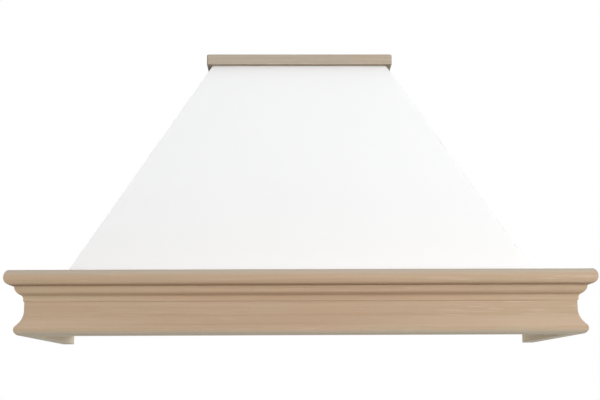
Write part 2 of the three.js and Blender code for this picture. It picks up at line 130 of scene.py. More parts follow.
# The node tree of one material or of the world.
class Bench:
    def __init__(self, tree):
        self.tree = tree
        tree.nodes.clear()

    # Adds a node, sets it up, and then fills or links its sockets. Gives the wire of one output.
    def put(self, kind, settings=None, values=None, out=0):
        node = self.tree.nodes.new(kind)
        for key, value in (settings or {}).items():
            setattr(node, key, value)
        for key, value in (values or {}).items():
            socket = node.inputs[key]
            if isinstance(value, Wire):
                self.tree.links.new(value.socket, socket)
            elif isinstance(value, tuple) and socket.type == "RGBA":
                socket.default_value = (*value, 1)
            else:
                socket.default_value = value
        return Wire(self, node.outputs[out]) if len(node.outputs) else None

    # object coordinates in metres, turned and then shifted
    def place(self, turn=(0, 0, 0), shift=(0, 0, 0)):
        spot = self.put("ShaderNodeTexCoord", out="Object")
        values = {"Vector": spot, "Location": shift, "Rotation": turn}
        return self.put("ShaderNodeMapping", {"vector_type": "POINT"}, values)

    # a place with its x, y and z each times a number
    def scaled(self, place, factors):
        return self.put("ShaderNodeVectorMath", {"operation": "MULTIPLY"}, {0: place, 1: factors})

    # noise from 0 to 1, with its cells for each metre along each axis
    def noise(self, place, cells, detail=2.0, roughness=0.5):
        values = {
            "Vector": self.scaled(place, cells),
            "Scale": 1.0,
            "Detail": detail,
            "Roughness": roughness,
        }
        return self.put("ShaderNodeTexNoise", {"noise_dimensions": "3D"}, values)

    # 0 below low, 1 above high, and 3t^2 - 2t^3 between them
    def ramp(self, value, low, high):
        values = {"Value": value, "From Min": low, "From Max": high}
        return self.put("ShaderNodeMapRange", {"interpolation_type": "SMOOTHSTEP"}, values)

    # one colour into another by a factor
    def blend(self, factor, first, second):
        return self.put("ShaderNodeMix", {"data_type": "RGBA"}, {0: factor, 6: first, 7: second}, 2)

    # x, y and z of a vector
    def parts(self, place):
        split = self.put("ShaderNodeSeparateXYZ", None, {0: place})
        return [Wire(self, split.socket.node.outputs[i]) for i in range(3)]

    # a height from 0 to 1, and its depth in metres
    def bump(self, height, depth, strength):
        values = {"Strength": strength, "Distance": depth, "Height": height}
        return self.put("ShaderNodeBump", None, values)

    # the finished surface, with what feeds its sockets
    def close(self, values):
        shader = self.put("ShaderNodeBsdfPrincipled", None, values)
        self.put("ShaderNodeOutputMaterial", None, {"Surface": shader})


# a material, and the bench for its nodes
def newMaterial(name):
    material = bpy.data.materials.new(name)
    material.use_nodes = True
    return material, Bench(material.node_tree)


stage = {
    "floorDrop": 1.6,  # m from the rails down to the floor
    "floorRadius": 9.0,  # m
    "floorCap": 0.02,  # m, radius of the face in the middle
    "rings": 24,
    "spokes": 64,
    "floorColour": (0.86, 0.86, 0.85),
    "fade": (1.6, 5.0),  # m from the middle, the floor turns white between these
    "skyColour": (0.96, 0.99, 1.03),
    "skyLevel": 0.14,
    "white": (1.0, 1.0, 1.0),
}


# The camera and mirrors see plain white, and everything else is lit by a dim sky.
def buildWorld():
    world = bpy.data.worlds.new("white surroundings")
    scene.world = world
    world.use_nodes = True
    bench = Bench(world.node_tree)
    direct = bench.put("ShaderNodeLightPath", out="Is Camera Ray")
    rays = direct.socket.node.outputs
    mirrored = Wire(bench, rays["Is Glossy Ray"]) + Wire(bench, rays["Is Transmission Ray"])
    seen = bench.put("ShaderNodeMath", {"operation": "ADD", "use_clamp": True}, {0: direct, 1: mirrored})
    skyValues = {"Color": stage["skyColour"], "Strength": stage["skyLevel"]}
    sky = bench.put("ShaderNodeBackground", None, skyValues)
    white = bench.put("ShaderNodeBackground", None, {"Color": stage["white"], "Strength": 1.0})
    both = bench.put("ShaderNodeMixShader", None, {0: seen, 1: sky, 2: white})
    bench.put("ShaderNodeOutputWorld", None, {"Surface": both})


# Quads between closed rows of points, where point k of row j has the number j * columns + k.
def gridQuads(rows, columns):
    here = np.arange(rows - 1)[:, None] * columns + np.arange(columns)
    beside = np.arange(rows - 1)[:, None] * columns + (np.arange(columns) + 1) % columns
    return np.stack([here, beside, beside + columns, here + columns], -1).reshape(-1, 4)


# The quads, and one face over each end row.
def closedFaces(rows, columns):
    lastRow = (rows - 1) * columns
    caps = [list(range(columns))[::-1], list(range(lastRow, lastRow + columns))]
    return gridQuads(rows, columns).tolist() + caps


# A disc whose two parameters are its radius r and its angle a, with x = r cos a and y = r sin a. From above
# it turns white towards its rim, and from below it is clear.
def buildFloor():
    rings = np.linspace(stage["floorCap"], stage["floorRadius"], stage["rings"])
    spokes = np.arange(stage["spokes"]) * 2 * math.pi / stage["spokes"]
    radius, angle = np.meshgrid(rings, spokes, indexing="ij")
    level = np.full_like(radius, footZ - stage["floorDrop"])
    points = np.stack([radius * np.cos(angle), radius * np.sin(angle), level], -1).reshape(-1, 3)
    faces = gridQuads(stage["rings"], stage["spokes"])[:, ::-1].tolist() + [list(range(stage["spokes"]))]
    mesh = bpy.data.meshes.new("floor")
    mesh.from_pydata(points.tolist(), [], faces)
    floor = bpy.data.objects.new("floor", mesh)
    scene.collection.objects.link(floor)
    material, bench = newMaterial("pale floor")
    x, y = bench.parts(bench.place())[:2]
    fade = bench.ramp((x * x + y * y).root(), *stage["fade"])
    direct = bench.put("ShaderNodeLightPath", out="Is Camera Ray")
    under = bench.put("ShaderNodeNewGeometry", out="Backfacing")
    matt = bench.put("ShaderNodeBsdfDiffuse", None, {"Color": stage["floorColour"]})
    white = bench.put("ShaderNodeEmission", None, {"Color": stage["white"], "Strength": 1.0})
    clear = bench.put("ShaderNodeBsdfTransparent")
    upper = bench.put("ShaderNodeMixShader", None, {0: fade * direct, 1: matt, 2: white})
    both = bench.put("ShaderNodeMixShader", None, {0: under, 1: upper, 2: clear})
    bench.put("ShaderNodeOutputMaterial", None, {"Surface": both})
    mesh.materials.append(material)


# round lamps, with place and width in m, and power in W
lamps = {
    "right": {"from": (3.0, -3.0, 0.4), "size": 2.2, "power": 98, "colour": (1.0, 0.995, 0.985)},
    "left": {"from": (-3.0, -2.6, 1.4), "size": 2.2, "power": 34, "colour": (1.0, 1.0, 1.0)},
    "front": {"from": (0.0, -4.6, -0.55), "size": 1.6, "power": 55, "colour": (1.0, 0.995, 0.985)},
    "top": {"from": (0.2, -0.7, 3.0), "size": 3.0, "power": 30, "colour": (1.0, 1.0, 1.0)},
    "back": {"from": (0.6, 3.4, 1.2), "size": 2.6, "power": 150, "colour": (1.0, 1.0, 1.0)},
}
lampTarget = (0, -0.3, -0.25)  # the middle of the cover


def buildLamps():
    target = Vector(lampTarget)
    for name, lamp in lamps.items():
        data = bpy.data.lights.new(name, "AREA")
        data.shape = "DISK"
        data.size = lamp["size"]
        data.energy = lamp["power"]
        data.color = lamp["colour"]
        light = bpy.data.objects.new(name, data)
        light.location = lamp["from"]
        light.rotation_euler = (target - light.location).to_track_quat("-Z", "Y").to_euler()
        scene.collection.objects.link(light)


buildWorld()
buildFloor()
buildLamps()
print("stage built")


# Turns the grain's direction onto the pattern's long axis.
def grainTurn(grain):
    return tuple(Vector(grain).rotation_difference(Vector((1, 0, 0))).to_euler())


# the cosine between a face's normal and a direction
def facing(bench, direction):
    normal = bench.put("ShaderNodeTexCoord", out="Normal")
    values = {0: normal, 1: tuple(Vector(direction).normalized())}
    return bench.put("ShaderNodeVectorMath", {"operation": "DOT_PRODUCT"}, values, "Value")


# 1 where a face cuts across the grain
def endGrain(bench, grain):
    return bench.ramp(abs(facing(bench, grain)), 0.55, 0.9)


# Colours are linear. Cells are noise cells for each metre, first along the grain and then across it. A pair
# gives the noise values between which a mark sets in.
hardwood = {
    "body": (0.476, 0.338, 0.229),
    "dark": (0.395, 0.268, 0.172),
    "pale": (0.555, 0.432, 0.330),
    "pore": (0.270, 0.165, 0.098),
    "olive": (0.436, 0.350, 0.232),  # what the body drifts towards along a board
    "drift": (0.42, 0.66),
    "driftCells": (5.0, 14, 14),
    "pith": (0.0, 0.31, 0.24),  # m from the piece to the middle of the tree
    "ringsPerMetre": 150.0,
    "changesPerMetre": 0.7,  # of a ring along the grain
    "lateWood": (0.40, 0.66),
    "stray": 0.030,  # m that a ring strays from a circle
    "strayCells": (1.1, 6, 6),
    "toneCells": (1.5, 10, 10),
    "fibreCells": (16, 640, 640),
    "streaks": (0.54, 0.70),
    "streakCells": (13, 330, 330),
    "patches": (0.44, 0.60),  # the streaks gather in these
    "patchCells": (2.0, 12, 12),
    "pores": (0.62, 0.72),
    "poreCells": (240, 1500, 1500),
    "darkest": -0.08,  # m right of the middle, painted light makes the boards paler away from here
    "litEnds": (0.05, 0.60),  # m from there, between which they do
    "roughness": 0.60,
    "bumpDepth": 0.0004,
    "bumpStrength": 0.3,
}
# Painted light and shade, with some dust and saw marks, with heights in m above the underside of the rails.
# Between the two heights of a pair the wood changes over.
paintedLightAndDust = {
    "roughLit": (0.760, 0.690, 0.540),  # inner faces, which are left from the saw and painted paler to lift their shade; also the foot's flat underside
    "dustAndSheen": (0.440, 0.396, 0.334),  # painted sheen with some dust, greys the shelf's upper side and the nosing's crown
    "underLight": (0.385, 0.333, 0.266),  # painted cool light, greys the foot's downward faces
    "coveLight": (0.590, 0.450, 0.335),  # painted light, pales the lower cove's upward faces
    "quirk": 0.0828,  # painted shade darkens the wood near this height
    "quirkReach": (0.001, 0.0050),  # and fades between these two distances from it, in m
    "crease": 0.1005,  # the same painted shade under the nosing
    "creaseReach": (0.0008, 0.0034),
    "footTop": (0.011, 0.014),
    "coveTop": (0.040, 0.060),
    "bedTop": (railTop + 0.001, railTop + 0.004),
    "headFoot": (0.49, 0.54),  # only the collar lies above this
}


# Painted shade in creases, painted sheen with some dust, and painted light on low and sawn faces. Each share
# is a product of smooth steps of the height above the foot and of the cosine between the face's normal and
# up, down or back. It blends a colour over the wood.
def addPaintedLightAndDust(bench, colour, pore, litEnds, back):
    height = bench.parts(bench.place())[2] - footZ
    up = facing(bench, (0, 0, 1))
    down = 0 - up
    inQuirk = 1 - bench.ramp(abs(height - paintedLightAndDust["quirk"]), *paintedLightAndDust["quirkReach"])
    inCrease = 1 - bench.ramp(abs(height - paintedLightAndDust["crease"]), *paintedLightAndDust["creaseReach"])
    inFoot = 1 - bench.ramp(height, *paintedLightAndDust["footTop"])
    inCove = 1 - bench.ramp(height, *paintedLightAndDust["coveTop"])
    aboveBed = bench.ramp(height, *paintedLightAndDust["bedTop"])
    inHead = bench.ramp(height, *paintedLightAndDust["headFoot"])
    overhung = bench.ramp(down, 0.3, 0.9)
    # painted shade in the quirk, under the nosing and on the collar's downward faces
    paintedShade = inQuirk * (0.40 - litEnds * 0.14) + (inCrease * 0.58 + inHead * 0.5) * overhung
    # painted sheen with some dust on the shelf's upward faces
    dustAndSheen = aboveBed * bench.ramp(up, -0.05, 0.60) * (0.72 - bench.ramp(up, 0.93, 0.99) * 0.4)
    # painted light on the lower cove where it faces up
    coveLight = inCove * bench.ramp(up, 0.15, 0.65) * (0.25 + litEnds * 0.45)
    # painted cool light on the foot's downward faces
    underLight = inFoot * bench.ramp(down, 0.0, 0.7) * 0.8
    # painted light: sawn inner faces and the foot's flat underside are made paler against their shade
    sawnLit = bench.ramp(facing(bench, back), 0.5, 0.9) * (0.8 - aboveBed * 0.62)
    litUnderside = inFoot * bench.ramp(down, 0.93, 0.99) * 0.25
    colour = bench.blend(paintedShade, colour, pore)
    colour = bench.blend(dustAndSheen, colour, paintedLightAndDust["dustAndSheen"])
    colour = bench.blend(coveLight, colour, paintedLightAndDust["coveLight"])
    colour = bench.blend(underLight, colour, paintedLightAndDust["underLight"])
    return bench.blend(sawnLit + litUnderside, colour, paintedLightAndDust["roughLit"])


# Growth rings are rounded noise of the distance from the pith. Streaks, fibres and pores are noise that is
# stretched along the grain. Painted light, which pales the boards, grows from 0 to 1 away from the darkest
# place.
def hardwoodMaterial(name, grain, shift, back, tint):
    material, bench = newMaterial(name)
    wood = hardwood
    tinted = [tuple(np.multiply(wood[key], tint)) for key in ("body", "dark", "pale", "pore")]
    body, dark, pale, pore = tinted
    place = bench.place(grainTurn(grain), tuple(np.add(wood["pith"], shift)))
    x, y, z = bench.parts(place)
    radius = (y * y + z * z).root() + bench.noise(place, wood["strayCells"], 3.0) * wood["stray"]
    ringPlace = {0: x * wood["changesPerMetre"], 1: radius * wood["ringsPerMetre"]}
    rings = bench.noise(bench.put("ShaderNodeCombineXYZ", None, ringPlace), (1, 1, 1), 3.0, 0.6)
    tone = bench.noise(place, wood["toneCells"])
    fibres = bench.noise(place, wood["fibreCells"], 3.0, 0.6)
    drift = bench.ramp(bench.noise(place, wood["driftCells"]), *wood["drift"])
    streaks = bench.ramp(bench.noise(place, wood["streakCells"]), *wood["streaks"])
    patches = bench.ramp(bench.noise(place, wood["patchCells"]), *wood["patches"])
    pores = bench.ramp(bench.noise(place, wood["poreCells"], 1.0), *wood["pores"])
    across = bench.parts(bench.place())[0]
    # painted light: the boards grow paler away from the darkest place
    litEnds = bench.ramp(abs(across - wood["darkest"]), *wood["litEnds"])
    cut = endGrain(bench, grain)
    colour = bench.blend(drift * 0.5 + litEnds * 0.3, body, wood["olive"])
    lateWood = bench.ramp(rings * 0.6 + tone * 0.4, *wood["lateWood"])
    colour = bench.blend(lateWood * (0.85 - litEnds * 0.45), colour, dark)
    colour = bench.blend(streaks * patches * (0.35 + litEnds * 0.35), colour, pale)
    colour = bench.blend(bench.ramp(fibres, 0.35, 0.75) * 0.30, colour, dark)
    cutRings = cut * (0.12 + bench.ramp(rings, 0.42, 0.60) * 0.42)
    colour = bench.blend(pores * 0.30 + cutRings, colour, pore)
    bench.close({
        "Base Color": addPaintedLightAndDust(bench, colour, pore, litEnds, back),
        "Roughness": wood["roughness"] + fibres * 0.12 + cut * 0.15,
        "Specular IOR Level": 0.3,
        "Normal": bench.bump(fibres * 0.7 + rings * 0.3, wood["bumpDepth"], wood["bumpStrength"]),
    })
    return material


softwood = {
    "body": (0.62, 0.44, 0.25),
    "dark": (0.46, 0.27, 0.12),
    "pale": (0.70, 0.53, 0.33),
    "knot": (0.17, 0.08, 0.035),
    "pith": (0.0, 0.075, 0.05),  # m from the piece to the middle of the tree
    "ringsPerMetre": 260.0,
    "stray": 0.022,  # m that a ring strays from a circle
    "strayCells": (1.2, 9, 9),
    "waver": 0.7,  # share of a ring
    "waverCells": (2, 60, 60),
    "lateWood": (0.35, 0.92),  # share of a ring, between which it darkens
    "knotCells": (3.2, 12, 12),
    "knotSize": (0.06, 0.12),  # shares of a knot's cell
    "swirlSize": (0.05, 0.30),
    "swirl": 0.012,  # m that a knot bends the rings
    "toneCells": (1.3, 7, 7),
    "fibreCells": (18, 700, 700),
    "roughness": 0.70,
    "bumpDepth": 0.0005,
    "bumpStrength": 0.4,
}


# Late wood darkens each ring towards its outside and stops sharply. A place's share of its ring is what is
# left over when its distance from the pith is divided by a ring's width. Knots bend the rings round them.
def softwoodMaterial(name, grain, shift):
    material, bench = newMaterial(name)
    wood = softwood
    place = bench.place(grainTurn(grain), tuple(np.add(wood["pith"], shift)))
    y, z = bench.parts(place)[1:]
    cells = {"Vector": bench.scaled(place, wood["knotCells"]), "Scale": 1.0}
    away = bench.put("ShaderNodeTexVoronoi", {"feature": "F1"}, cells)
    knot = 1 - bench.ramp(away, *wood["knotSize"])
    swirl = 1 - bench.ramp(away, *wood["swirlSize"])
    stray = bench.noise(place, wood["strayCells"], 3.0) * wood["stray"]
    radius = (y * y + z * z).root() + stray + swirl * wood["swirl"]
    waver = bench.noise(place, wood["waverCells"]) * wood["waver"]
    share = (radius * wood["ringsPerMetre"] + waver).fraction()
    late = bench.ramp(share, *wood["lateWood"]) * (1 - bench.ramp(share, 0.93, 1.0))
    fibres = bench.noise(place, wood["fibreCells"], 3.0, 0.6)
    tone = bench.noise(place, wood["toneCells"])
    fibreShade = bench.ramp(fibres, 0.35, 0.75) * 0.25 + endGrain(bench, grain) * 0.25
    colour = bench.blend(bench.ramp(tone, 0.3, 0.7), wood["body"], wood["pale"])
    colour = bench.blend(late * 0.5, colour, wood["dark"])
    colour = bench.blend(fibreShade, colour, wood["dark"])
    colour = bench.blend(knot * 0.85, colour, wood["knot"])
    bench.close({
        "Base Color": colour,
        "Roughness": wood["roughness"] + fibres * 0.12,
        "Specular IOR Level": 0.3,
        "Normal": bench.bump(fibres * 0.6 + late * 0.4, wood["bumpDepth"], wood["bumpStrength"]),
    })
    return material


zinc = {
    "bright": (0.62, 0.64, 0.66),
    "dull": (0.47, 0.49, 0.52),
    "spangleCells": (160, 160, 160),
    "scuffCells": (700, 90, 90),
    "roughness": 0.27,
    "metallic": 0.95,
}


# Spangles are cloudy noise that dulls the coat, and scuffs are noise stretched into short scratches.
def zincMaterial():
    material, bench = newMaterial("zinc plated steel")
    spangle = bench.noise(bench.place(), zinc["spangleCells"], 3.0)
    scuffs = bench.ramp(bench.noise(bench.place(), zinc["scuffCells"]), 0.55, 0.7)
    bench.close({
        "Base Color": bench.blend(bench.ramp(spangle, 0.35, 0.7), zinc["bright"], zinc["dull"]),
        "Roughness": zinc["roughness"] + spangle * 0.15 + scuffs * 0.12,
        "Metallic": zinc["metallic"],
    })
    return material


# One corner of an outline, and the radius that its edge is eased to.
def corner(u, v, ease=0.0008):
    return np.array([[u, v, ease]])


# points on an ellipse from one angle in degrees to another, with cos and sin to the power 2 / fullness
def arc(centre, radii, start, stop, count, fullness=2.0):
    angle = np.radians(np.linspace(start, stop, count))
    u, v = (np.sign(wave) * np.abs(wave) ** (2 / fullness) for wave in (np.cos(angle), np.sin(angle)))
    return np.stack([centre[0] + radii[0] * u, centre[1] + radii[1] * v, np.zeros(count)], -1)


# the curve (1-t)^2 first + 2t(1-t) pull + t^2 last, with pull at shares of the way from first to last
def bend(first, last, shares, count):
    t = np.linspace(0, 1, count)[:, None]
    first = np.array(first)
    last = np.array(last)
    pull = first + (last - first) * np.array(shares)
    points = first * (1 - t) ** 2 + pull * 2 * t * (1 - t) + last * t**2
    return np.hstack([points, np.zeros((count, 1))])


# Each corner becomes the arc that touches both its edges. The arc's centre is on the corner's bisector, at
# the radius over the sine of half the corner's angle. Points closer than a hair to the one before are left
# out.
def easeCorners(outline, steps=5, hair=2e-5):
    points = outline[:, :2]
    ease = outline[:, 2]
    before = np.roll(points, 1, 0) - points
    after = np.roll(points, -1, 0) - points
    before /= np.linalg.norm(before, axis=1, keepdims=True)
    after /= np.linalg.norm(after, axis=1, keepdims=True)
    half = np.arccos(np.clip((before * after).sum(1), -1, 1)) / 2
    reach = ease / np.tan(half)
    middle = before + after
    middle /= np.maximum(np.linalg.norm(middle, axis=1, keepdims=True), 1e-9)
    centre = points + middle * (ease / np.sin(half))[:, None]
    first = points + before * reach[:, None] - centre
    last = points + after * reach[:, None] - centre
    start = np.arctan2(first[:, 1], first[:, 0])
    sweep = (np.arctan2(last[:, 1], last[:, 0]) - start + math.pi) % (2 * math.pi) - math.pi
    angle = start[:, None] + sweep[:, None] * np.linspace(0, 1, steps)
    rounded = centre[:, None] + ease[:, None, None] * np.stack([np.cos(angle), np.sin(angle)], -1)
    rounded = np.where(ease[:, None, None] > 0, rounded, points[:, None]).reshape(-1, 2)
    kept = np.linalg.norm(rounded - np.roll(rounded, 1, 0), axis=1) > hair
    return rounded[kept]


# Carries an outline along a run. place(u, v, t) gives the points, with t from 0 to 1 along the run. Near
# both ends the outline draws in by r(1 - cos a) at r(1 - sin a) from the end, with a from 0 to 90 degrees,
# which eases the end's edge. Where a corner is rounded, more stations follow close to the ends.
def carry(outline, place, length, ease=0.00025, stations=7, rounding=0.0):
    following = np.roll(outline, -1, 0)
    along = following - np.roll(outline, 1, 0)
    along /= np.linalg.norm(along, axis=1, keepdims=True)
    area = (outline[:, 0] * following[:, 1] - following[:, 0] * outline[:, 1]).sum()
    inward = np.stack([-along[:, 1], along[:, 0]], -1) * np.sign(area)
    a = np.radians(np.linspace(90, 0, 4))
    fromEnd = ease * (1 - np.sin(a)) / length
    drawn = ease * (1 - np.cos(a))
    middle = np.linspace(0, 1, stations)[1:-1]
    if rounding:
        # from just past the eased edge to just past the rounding
        close = (ease * 1.5 + rounding * np.linspace(0, 1.2, 8)) / length
        middle = np.concatenate([close, middle, 1 - close[::-1]])
    t = np.concatenate([fromEnd, middle, 1 - fromEnd[::-1]])[:, None]
    inset = np.concatenate([drawn, middle * 0, drawn[::-1]])[:, None]
    u = outline[:, 0] + inward[:, 0] * inset
    v = outline[:, 1] + inward[:, 1] * inset
    grid = np.stack(np.broadcast_arrays(*place(u, v, t)), -1)
    return grid.reshape(-1, 3), closedFaces(*u.shape)


# Puts a mesh in the scene in place of a CAD node. Where its volume comes out negative, its faces are turned
# over. Edges sharper than so many degrees stay sharp.
def addPiece(name, points, faces, material, node, smooth=35.0):
    mesh = bpy.data.meshes.new(name)
    mesh.from_pydata(points.tolist(), [], faces)
    mesh.calc_loop_triangles()
    corners = np.zeros(len(mesh.loop_triangles) * 3, int)
    mesh.loop_triangles.foreach_get("vertices", corners)
    a, b, c = (points - points.mean(0))[corners.reshape(-1, 3)].transpose(1, 0, 2)
    if (a * np.cross(b, c)).sum() < 0:
        mesh.flip_normals()
    mesh.shade_smooth()
    mesh.set_sharp_from_angle(angle=math.radians(smooth))
    mesh.materials.append(material)
    piece = bpy.data.objects.new(name, mesh)
    scene.collection.objects.link(piece)
    even = piece.modifiers.new("even shading", "WEIGHTED_NORMAL")
    even.keep_sharp = True
    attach(piece, "root")
    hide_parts(node)


# Mouldings, in m. In an outline u is the distance out from the rail's back face and v the height above the
# underside.
moulding = {
    "railFace": 0.019,  # how far out the flat face lies
    "noseRadius": 0.0115,  # rounded foot
    "coveRadius": 0.044,
    "railEase": 0.0005,
    "bedHeight": 0.0317,
    "bedFillet": 0.0020,
    "bedFilletHeight": 0.0128,
    "bedFilletEase": 0.0019,
    "bedHollow": 0.0068,  # height of the hollow between fillet and quirk
    "hollowPull": (0.18, 0.62),  # corner that the hollow bends towards, as shares of its size
    "bedQuirk": 0.0030,  # how far the quirk stands out from the fillet
    "bedLip": 0.005,
    "bedArris": 0.0014,
    "ovoloPull": (0.80, 0.27),  # the same corner for the ovolo
    "backEase": 0.0003,  # edges against another piece
    "nosingTip": 0.016,  # height of the tip above the board's underside
    "nosingCrown": 0.010,  # width of the curve above the tip
    "nosingFullness": 2.5,
    "mitreGap": 0.00015,  # half the gap between two mitred ends
}
# For each kind of board, the factors of its colours, and the places in the tree, in m, that its front, left
# and right boards are cut from.
boards = {
    "rail": {
        "tint": (0.955, 0.955, 0.955),
        "shifts": [(0.1, 0.02, 0.0), (3.1, 0.05, 0.02), (5.7, -0.03, 0.01)],
    },
    "bed_moulding": {
        "tint": (0.985, 0.985, 0.975),
        "shifts": [(9.3, 0.2, 0.1), (11.2, 0.1, 0.2), (12.9, 0.15, 0.12)],
    },
    "shelf": {
        "tint": (1.0, 1.0, 1.0),
        "shifts": [(20.1, 0.04, -0.06), (23.7, 0.0, -0.05), (27.3, 0.02, -0.08)],
    },
    "collar": {
        "tint": (0.92, 1.10, 1.29),
        "shifts": [(31.0, 0.3, 0.2), (33.5, 0.25, 0.3), (36.2, 0.2, 0.25)],
    },
}
backHalf = boxOf("back_rail")[1][0]  # half the clear width between the side rails
backDepth = -railHigh[1]  # from the wall to the back of the front rail
railOuter = -railLow[1] - backDepth
bedOuter = -boxOf("bed_moulding_front")[0][1] - backDepth
nosingOuter = -shelfLow[1] - backDepth
shelfInner = -shelfHigh[1] - backDepth


# A half-round foot runs into a cove, and the cove into a flat face. The two arcs meet on the line between
# their centres.
def railOutline():
    m = moulding
    nose = m["noseRadius"]
    cove = m["coveRadius"]
    noseU = railOuter - nose
    coveU = m["railFace"] + cove
    coveV = nose + math.sqrt((nose + cove) ** 2 - (coveU - noseU) ** 2)
    meet = math.degrees(math.atan2(coveV - nose, coveU - noseU))
    return np.concatenate([
        corner(0, 0),
        arc((noseU, nose), (nose, nose), -90, meet, 26),
        arc((coveU, coveV), (cove, cove), meet + 180, 180, 22)[1:],
        corner(m["railFace"], railTop, m["railEase"]),
        corner(0, railTop, m["railEase"]),
    ])


# A fillet that hollows out into a quirk, and an ovolo above it.
def bedOutline():
    m = moulding
    foot = railTop - m["bedHeight"]
    quirk = foot + m["bedFilletHeight"]
    thin = m["railFace"] + m["bedFillet"]
    start = thin + m["bedQuirk"]
    return np.concatenate([
        corner(m["railFace"], foot, m["backEase"]),
        corner(thin, foot, m["bedFilletEase"]),
        bend((thin, quirk - m["bedHollow"]), (start, quirk), m["hollowPull"], 10),
        bend((start, quirk), (bedOuter, railTop - m["bedLip"]), m["ovoloPull"], 18)[1:],
        corner(bedOuter, railTop, m["bedArris"]),
        corner(m["railFace"], railTop, m["backEase"]),
    ])


# A board whose front edge is two quarter ellipses that meet at the tip, the lower one filled out.
def shelfOutline():
    m = moulding
    tip = railTop + m["nosingTip"]
    crown = m["nosingCrown"]
    return np.concatenate([
        corner(shelfInner, railTop),
        arc((bedOuter, tip), (nosingOuter - bedOuter, m["nosingTip"]), -90, 0, 26, m["nosingFullness"]),
        arc((nosingOuter - crown, tip), (crown, shelfTop - tip), 0, 90, 20)[1:],
        corner(shelfInner, shelfTop),
    ])


# The front run is mitred at both ends. The side runs start square at the wall and end in the mitre. Where
# the upright corner is rounded, the outside lies sqrt(r^2 - s^2) from the arc's centre, s past the arc's
# start.
def addRuns(name, outline, half, depth, radius=0.0):
    gap = moulding["mitreGap"]
    outline = easeCorners(outline)
    thick = outline[:, 0].max()
    share = 1 - (1 - math.sqrt(0.5)) * radius / thick

    def drawn(length, t):
        past = np.clip((length + thick * share) * t - (length + thick - radius), 0, radius)
        return (thick - radius + np.sqrt(radius**2 - past**2)) / thick

    def front(u, v, t):
        s = 2 * t - 1
        return (half + u * share - gap) * s, -(depth + u * drawn(half, abs(s))), footZ + v

    def left(u, v, t):
        return -(half + u * drawn(depth, t)), -(depth + u * share - gap) * t, footZ + v

    def right(u, v, t):
        return half + u * drawn(depth, t), -(depth + u * share - gap) * t, footZ + v

    # direction of the grain, way that the hidden face looks, length and points
    runs = {
        "front": ((1, 0, 0), (0, 1, 0), 2 * half, front),
        "left": ((0, 1, 0), (1, 0, 0), depth, left),
        "right": ((0, 1, 0), (-1, 0, 0), depth, right),
    }
    board = boards[name]
    for (side, (grain, back, length, place)), shift in zip(runs.items(), board["shifts"]):
        node = f"{name}_{side}"
        points, faces = carry(outline, place, length, rounding=radius)
        material = hardwoodMaterial(f"bare wood {node}", grain, shift, back, board["tint"])
        addPiece(f"{node}_finish", points, faces, material, node)


addRuns("rail", railOutline(), backHalf, backDepth)
addRuns("bed_moulding", bedOutline(), backHalf, backDepth)
addRuns("shelf", shelfOutline(), backHalf, backDepth)
print("mouldings built")


# radii in m: the upper and lower outer edges, and the upright corners
collar = {"ease": 0.0022, "lowEase": 0.0012, "turn": 0.005}
headHalf = boxOf("flue_frame_front")[1][0]
headDepth = -boxOf("flue_frame_front")[0][1]


# A plain strip with its outer edges eased.
def collarOutline():
    thick = -collarLow[1] - headDepth
    top = collarHigh[2] - footZ
    return np.concatenate([
        corner(0, collarFoot, moulding["backEase"]),
        corner(thick, collarFoot, collar["lowEase"]),
        corner(thick, top, collar["ease"]),
        corner(0, top, moulding["backEase"]),
    ])


addRuns("collar", collarOutline(), headHalf, headDepth, collar["turn"])
print("collar built")


canopy = {
    "edge": 0.0009,  # m, radius of the panels' edges
    "endEase": 0.0004,
    "gap": 0.00015,  # m, half the gap between two mitred panels
    "paint": (0.830, 0.833, 0.838),
    "litFootPaint": (0.872, 0.878, 0.884),  # painted light: a little whiter at the foot, against the ledge's shade
    "litFootTo": 0.35,  # share of the height where that has faded out
    "cloud": 0.985,  # factor of the paint's darker clouds
    "cloudCells": (4, 4, 4),
    "board": (0.37, 0.262, 0.170),
    "boardDark": (0.255, 0.170, 0.104),
    "coat": (0.0004, 0.00088),  # m behind the outside, where the paint ends
    "rollerCells": (330, 330, 330),
    "fibreCells": (900, 900, 900),
    "bumpDepth": 0.0002,
    "bumpStrength": 0.25,
}
panelLow, panelHigh = boxOf("canopy_panel_front")
sideLow, sideHigh = boxOf("canopy_panel_left")
canopyRise = panelHigh[2] - panelLow[2]
footHalf = -sideLow[0]
footDepth = -panelLow[1]
frontThick = headDepth + panelHigh[1]  # level thicknesses, measured across the lean
sideThick = headHalf + sideHigh[0]


# Half width of the canopy's outside at a height above its foot, on a straight line from foot to head.
def canopyHalf(v):
    return footHalf + (headHalf - footHalf) * v / canopyRise


# the same for its depth
def canopyDepth(v):
    return footDepth + (headDepth - footDepth) * v / canopyRise


